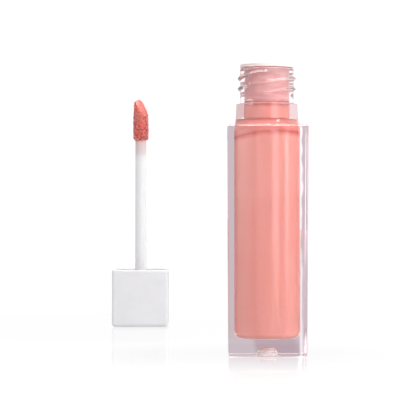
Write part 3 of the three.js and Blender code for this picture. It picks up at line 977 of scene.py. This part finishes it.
def make_bristles(felt, material):
    """Short fibres standing out of the felt, leaning together in clumps."""
    rng = random.Random(BRISTLE_SEED)
    mesh = felt.data
    centre = Vector((APPLICATOR_AXIS.x, APPLICATOR_AXIS.y, 0)) * MM
    points, faces = [], []
    within = (CORE_RADIUS + 0.3) * MM
    polygons = [p for p in mesh.polygons if (p.center - centre).xy.length > within]
    weights = [p.area for p in polygons]
    for polygon in rng.choices(polygons, weights, k=BRISTLE_COUNT):
        base = (polygon.center - centre) / MM
        wet = tip_wetness(base)
        if rng.random() < 0.93 * wet:
            continue
        seed = base / 0.5
        drift = noise.noise(seed), noise.noise(seed + Vector((9, 0, 0)))
        lean = Vector((*drift, 0.5 + noise.noise(seed * 1.7)))
        spread = Vector((rng.uniform(-1, 1), rng.uniform(-1, 1), rng.uniform(-1, 1))) * 0.25
        direction = (polygon.normal + 0.9 * lean * (0.4 + 0.6 * wet) + spread).normalized()
        side = direction.orthogonal().normalized()
        other = direction.cross(side)
        length = rng.uniform(*BRISTLE_LENGTHS) * (1 - 0.5 * wet)
        thick = rng.uniform(*BRISTLE_THICKNESSES)
        start = len(points)
        for along, share in ((-0.06, 1.0), (0.55, 0.8), (1.0, 0.25)):
            for k in range(3):
                turn = k * 2 * math.pi / 3
                offset = (side * math.cos(turn) + other * math.sin(turn)) * thick * share
                points.append(base + direction * length * along + offset)
        for level in (0, 3):
            for k in range(3):
                j = (k + 1) % 3
                low = start + level
                faces.append((low + k, low + j, low + 3 + j, low + 3 + k))
        faces.append((start + 2, start + 1, start))
        faces.append((start + 6, start + 7, start + 8))
    geometry = ([list(p) for p in points], faces)
    return make_object("tip_bristles", [geometry], material, "applicator")


# ---------------------------------------------------------------- stage
def add_mask(tree, source, axis, stops):
    """Falls off away from an axis; stops are (millimetres, value)."""
    away = tree.nodes.new("ShaderNodeVectorMath")
    away.operation = "DISTANCE"
    flat = tree.nodes.new("ShaderNodeVectorMath")
    flat.operation = "MULTIPLY"
    flat.inputs[1].default_value = (1, 1, 0)
    tree.links.new(source, flat.inputs[0])
    tree.links.new(flat.outputs["Vector"], away.inputs[0])
    away.inputs[1].default_value = (axis.x * MM, axis.y * MM, 0)
    share = add_math(tree, "DIVIDE", away.outputs["Value"], FLOOR_REACH * MM)
    return add_ramp(tree, share, [(mm / FLOOR_REACH, (value, value, value)) for mm, value in stops])


def add_shader_mix(tree, share, first, second):
    """From the first shader to the second."""
    node = tree.nodes.new("ShaderNodeMixShader")
    for socket, source in zip(node.inputs, (share, first, second)):
        tree.links.new(source, socket)
    return node.outputs["Shader"]


def add_background(tree, colour, strength):
    node = tree.nodes.new("ShaderNodeBackground")
    node.inputs["Color"].default_value = (*colour, 1)
    node.inputs["Strength"].default_value = strength
    return node.outputs["Background"]


def after_mirror(tree, ray):
    """1 for rays that the glass or the gloss has mirrored, 0 for others."""
    return add_math(tree, "GREATER_THAN", ray.outputs["Glossy Depth"], 0.5)


def through_glass(tree, ray):
    """1 for what the camera sees through the glass, 0 for what lights the pieces."""
    unlit = add_math(tree, "LESS_THAN", ray.outputs["Diffuse Depth"], 0.5)
    return add_math(tree, "MULTIPLY", ray.outputs["Is Transmission Ray"], unlit)


def add_boost(tree, ray, boost):
    """The boost for rays that come out of the glass, and 1 for all others."""
    extra = add_math(tree, "SUBTRACT", boost, 1.0)
    extra = add_math(tree, "MULTIPLY", ray.outputs["Is Transmission Ray"], extra)
    return add_math(tree, "ADD", extra, 1.0)


def add_sky(tree, across, values, strength):
    """A background whose colour changes with the direction along X."""
    brightest = max(max(colour) for _, colour in values)
    stops = [((x + 1) / 2, tuple(c / brightest for c in colour)) for x, colour in values]
    sky = tree.nodes.new("ShaderNodeBackground")
    tree.links.new(add_ramp(tree, across, stops), sky.inputs["Color"])
    tree.links.new(add_math(tree, "MULTIPLY", strength, brightest), sky.inputs["Strength"])
    return sky.outputs["Background"]


def add_gap(tree, across):
    """1 in the bright gap behind the glass, falling to 0 at its edges."""
    away = add_math(tree, "SUBTRACT", across, GAP_CENTRE)
    away = add_math(tree, "ABSOLUTE", away, 0.0)
    inside = add_math(tree, "DIVIDE", away, GAP_HALF)
    share = add_math(tree, "SUBTRACT", 1.5, inside)
    return add_math(tree, "MAXIMUM", add_math(tree, "MINIMUM", share, 1.0), 0.0)


def add_floor_behind(tree, place, ray):
    """The floor as it is seen through the glass."""
    split = add_split(tree, place)
    wide = add_lengths(tree, split["X"], FLOOR_THROUGH_GLASS)
    across = add_math(tree, "MULTIPLY", split["X"], 1 / (FLOOR_REACH * MM))
    across = add_math(tree, "ADD", across, 0.5)
    shades = (BLACK, WHITE, WHITE, BLACK)
    strip = [(mm / FLOOR_REACH + 0.5, shade) for mm, shade in zip(STRIP_EDGES, shades)]
    strip = add_ramp(tree, across, strip)
    near = add_mask(tree, place, BOTTLE_AXIS, STRIP_NEAR)
    share = add_math(tree, "MULTIPLY", strip, near)
    dark = add_mix(tree, share, wide, BEHIND_GLASS_DARK)
    aside = add_math(tree, "SUBTRACT", split["X"], CAMERA_X * MM)
    ahead = add_math(tree, "ADD", split["Y"], CAMERA_DISTANCE * MM)
    gap = add_gap(tree, add_math(tree, "DIVIDE", aside, ahead))
    beside = add_mix(tree, gap, dark, ABOVE_GLASS)
    close = add_mask(tree, place, BOTTLE_AXIS, MIRRORED_NEAR)
    mirrored = add_math(tree, "MULTIPLY", after_mirror(tree, ray), close)
    bright = add_mix(tree, mirrored, beside, MIRRORED_FLOOR)
    gate = add_mask(tree, place, BOTTLE_AXIS, UNDER_GATE)
    return add_mix(tree, gate, bright, ABOVE_GLASS)


def make_floor():
    """A white table that mirrors whatever stands on it close to where it stands."""
    bm = bmesh.new()
    corners = [(-1, -1), (1, -1), (1, 1), (-1, 1)]
    bm.faces.new([bm.verts.new((x * FLOOR_SIZE, y * FLOOR_SIZE, 0)) for x, y in corners])
    mesh = bpy.data.meshes.new("floor")
    bm.to_mesh(mesh)
    bm.free()
    floor = bpy.data.objects.new("floor", mesh)
    bpy.context.scene.collection.objects.link(floor)
    material = bpy.data.materials.new("floor")
    material.use_nodes = True
    tree = material.node_tree
    tree.nodes.remove(tree.nodes["Principled BSDF"])
    place = tree.nodes.new("ShaderNodeTexCoord").outputs["Object"]
    by_bottle = add_mask(tree, place, BOTTLE_AXIS, FLOOR_BY_BOTTLE)
    by_cap = add_mask(tree, place, APPLICATOR_AXIS, FLOOR_BY_CAP)
    mirror_share = add_math(tree, "MAXIMUM", by_bottle, by_cap)
    white = tree.nodes.new("ShaderNodeEmission")
    white.inputs["Strength"].default_value = SEEN_WHITE
    mirror = tree.nodes.new("ShaderNodeBsdfGlossy")
    mirror.inputs["Color"].default_value = (*WHITE, 1)
    mirror.inputs["Roughness"].default_value = FLOOR_MIRROR_ROUGHNESS
    seen = add_shader_mix(tree, mirror_share, white.outputs["Emission"], mirror.outputs["BSDF"])
    ray = tree.nodes.new("ShaderNodeLightPath")
    bright = tree.nodes.new("ShaderNodeVectorMath")
    bright.operation = "SCALE"
    bright.inputs[0].default_value = FLOOR_GLOW
    tree.links.new(add_boost(tree, ray, BOOST_FLOOR), bright.inputs["Scale"])
    behind = add_floor_behind(tree, place, ray)
    tone = add_mix(tree, through_glass(tree, ray), bright.outputs["Vector"], behind)
    glow = tree.nodes.new("ShaderNodeEmission")
    tree.links.new(tone, glow.inputs["Color"])
    pick = add_shader_mix(tree, ray.outputs["Is Camera Ray"], glow.outputs["Emission"], seen)
    tree.links.new(pick, tree.nodes["Material Output"].inputs["Surface"])
    mesh.materials.append(material)


def make_world():
    """White where it is seen or mirrored; its light is dim on the left and bright on the right."""
    world = bpy.data.worlds.new("studio")
    bpy.context.scene.world = world
    world.use_nodes = True
    tree = world.node_tree
    tree.nodes.remove(tree.nodes["Background"])
    split = add_split(tree, tree.nodes.new("ShaderNodeTexCoord").outputs["Generated"])
    ray = tree.nodes.new("ShaderNodeLightPath")
    light_x = add_range(tree, split["X"], 0.5, 1.0)
    boost = add_range(tree, light_x, BOOST_LEFT, BOOST_RIGHT)
    light = add_sky(tree, light_x, WORLD_LIGHT, add_boost(tree, ray, boost))
    # A ray that was turned back once inside the square block leaves it on the other side.
    turned_back = add_math(tree, "GREATER_THAN", ray.outputs["Ray Depth"], TURNED_BACK_DEPTH)
    side = add_range(tree, turned_back, 1.0, -1.0)
    behind_x = add_math(tree, "MULTIPLY", split["X"], side)
    behind_x = add_range(tree, behind_x, 0.5, 1.0)
    straight = add_sky(tree, behind_x, WORLD_THROUGH_GLASS, 1.0)
    mirrored = add_sky(tree, behind_x, WORLD_AFTER_MIRROR, 1.0)
    level = add_shader_mix(tree, after_mirror(tree, ray), straight, mirrored)
    softbox = add_background(tree, ABOVE_GLASS, ABOVE_GLASS_STRENGTH)
    level = add_shader_mix(tree, add_gap(tree, split["X"]), level, softbox)
    steep = add_math(tree, "ABSOLUTE", split["Z"], 0.0)
    above = add_ramp(tree, steep, ABOVE_BY_STEEPNESS)
    rightward = add_ramp(tree, behind_x, ABOVE_BY_SIDE)
    above = add_product(tree, above, rightward)
    behind = add_shader_mix(tree, above, level, softbox)
    unseen = add_shader_mix(tree, through_glass(tree, ray), light, behind)
    first = add_math(tree, "LESS_THAN", ray.outputs["Ray Depth"], 1.5)
    glint = add_math(tree, "MULTIPLY", ray.outputs["Is Glossy Ray"], first)
    plain = add_math(tree, "MAXIMUM", ray.outputs["Is Camera Ray"], glint)
    seen = add_background(tree, WHITE, SEEN_WHITE)
    mix = add_shader_mix(tree, plain, unseen, seen)
    tree.links.new(mix, tree.nodes["World Output"].inputs["Surface"])


def add_light(name, azimuth, elevation, distance, size, radiance, mirrored):
    """A lamp aimed at the stage's middle, azimuth to its right; a mirrored one only glints."""
    data = bpy.data.lights.new(name, "AREA")
    data.shape = "RECTANGLE"
    data.size, data.size_y = size
    data.energy = radiance * math.pi * size[0] * size[1]
    lamp = bpy.data.objects.new(name, data)
    turn, tilt = math.radians(azimuth), math.radians(elevation)
    flat = math.cos(tilt)
    toward = Vector((math.sin(turn) * flat, -math.cos(turn) * flat, math.sin(tilt)))
    lamp.location = Vector(STAGE_MIDDLE) + toward * distance
    lamp.rotation_euler = (-toward).to_track_quat("-Z", "Y").to_euler()
    lamp.visible_diffuse = not mirrored
    lamp.visible_glossy = mirrored
    lamp.visible_transmission = not mirrored
    bpy.context.scene.collection.objects.link(lamp)


def make_lights():
    add_light("glint", 40, 24, 0.45, (0.08, 0.12), 14, mirrored=True)
    add_light("overhead", 12, 62, 0.4, (0.2, 0.16), 15, mirrored=True)
    add_light("canopy", 0, 88, 0.4, (0.9, 0.35), 8, mirrored=True)
    add_light("side", 48, 20, 0.22, (0.2, 0.2), 2.5, mirrored=False)


# ---------------------------------------------------------------- make everything
make_camera()
make_world()
make_floor()
make_lights()

flock_material = wet_flock()
make_bottle(clear_plastic())
make_gloss(gloss_liquid())
make_wiper(wiper_plastic())
make_cap(satin_plastic())
make_washer(washer_foam())
make_wand(wand_plastic())
make_core(tip_elastomer())
felt = make_flock(flock_material)
make_bristles(felt, flock_fibre())

bpy.context.scene.view_settings.view_transform = "Standard"
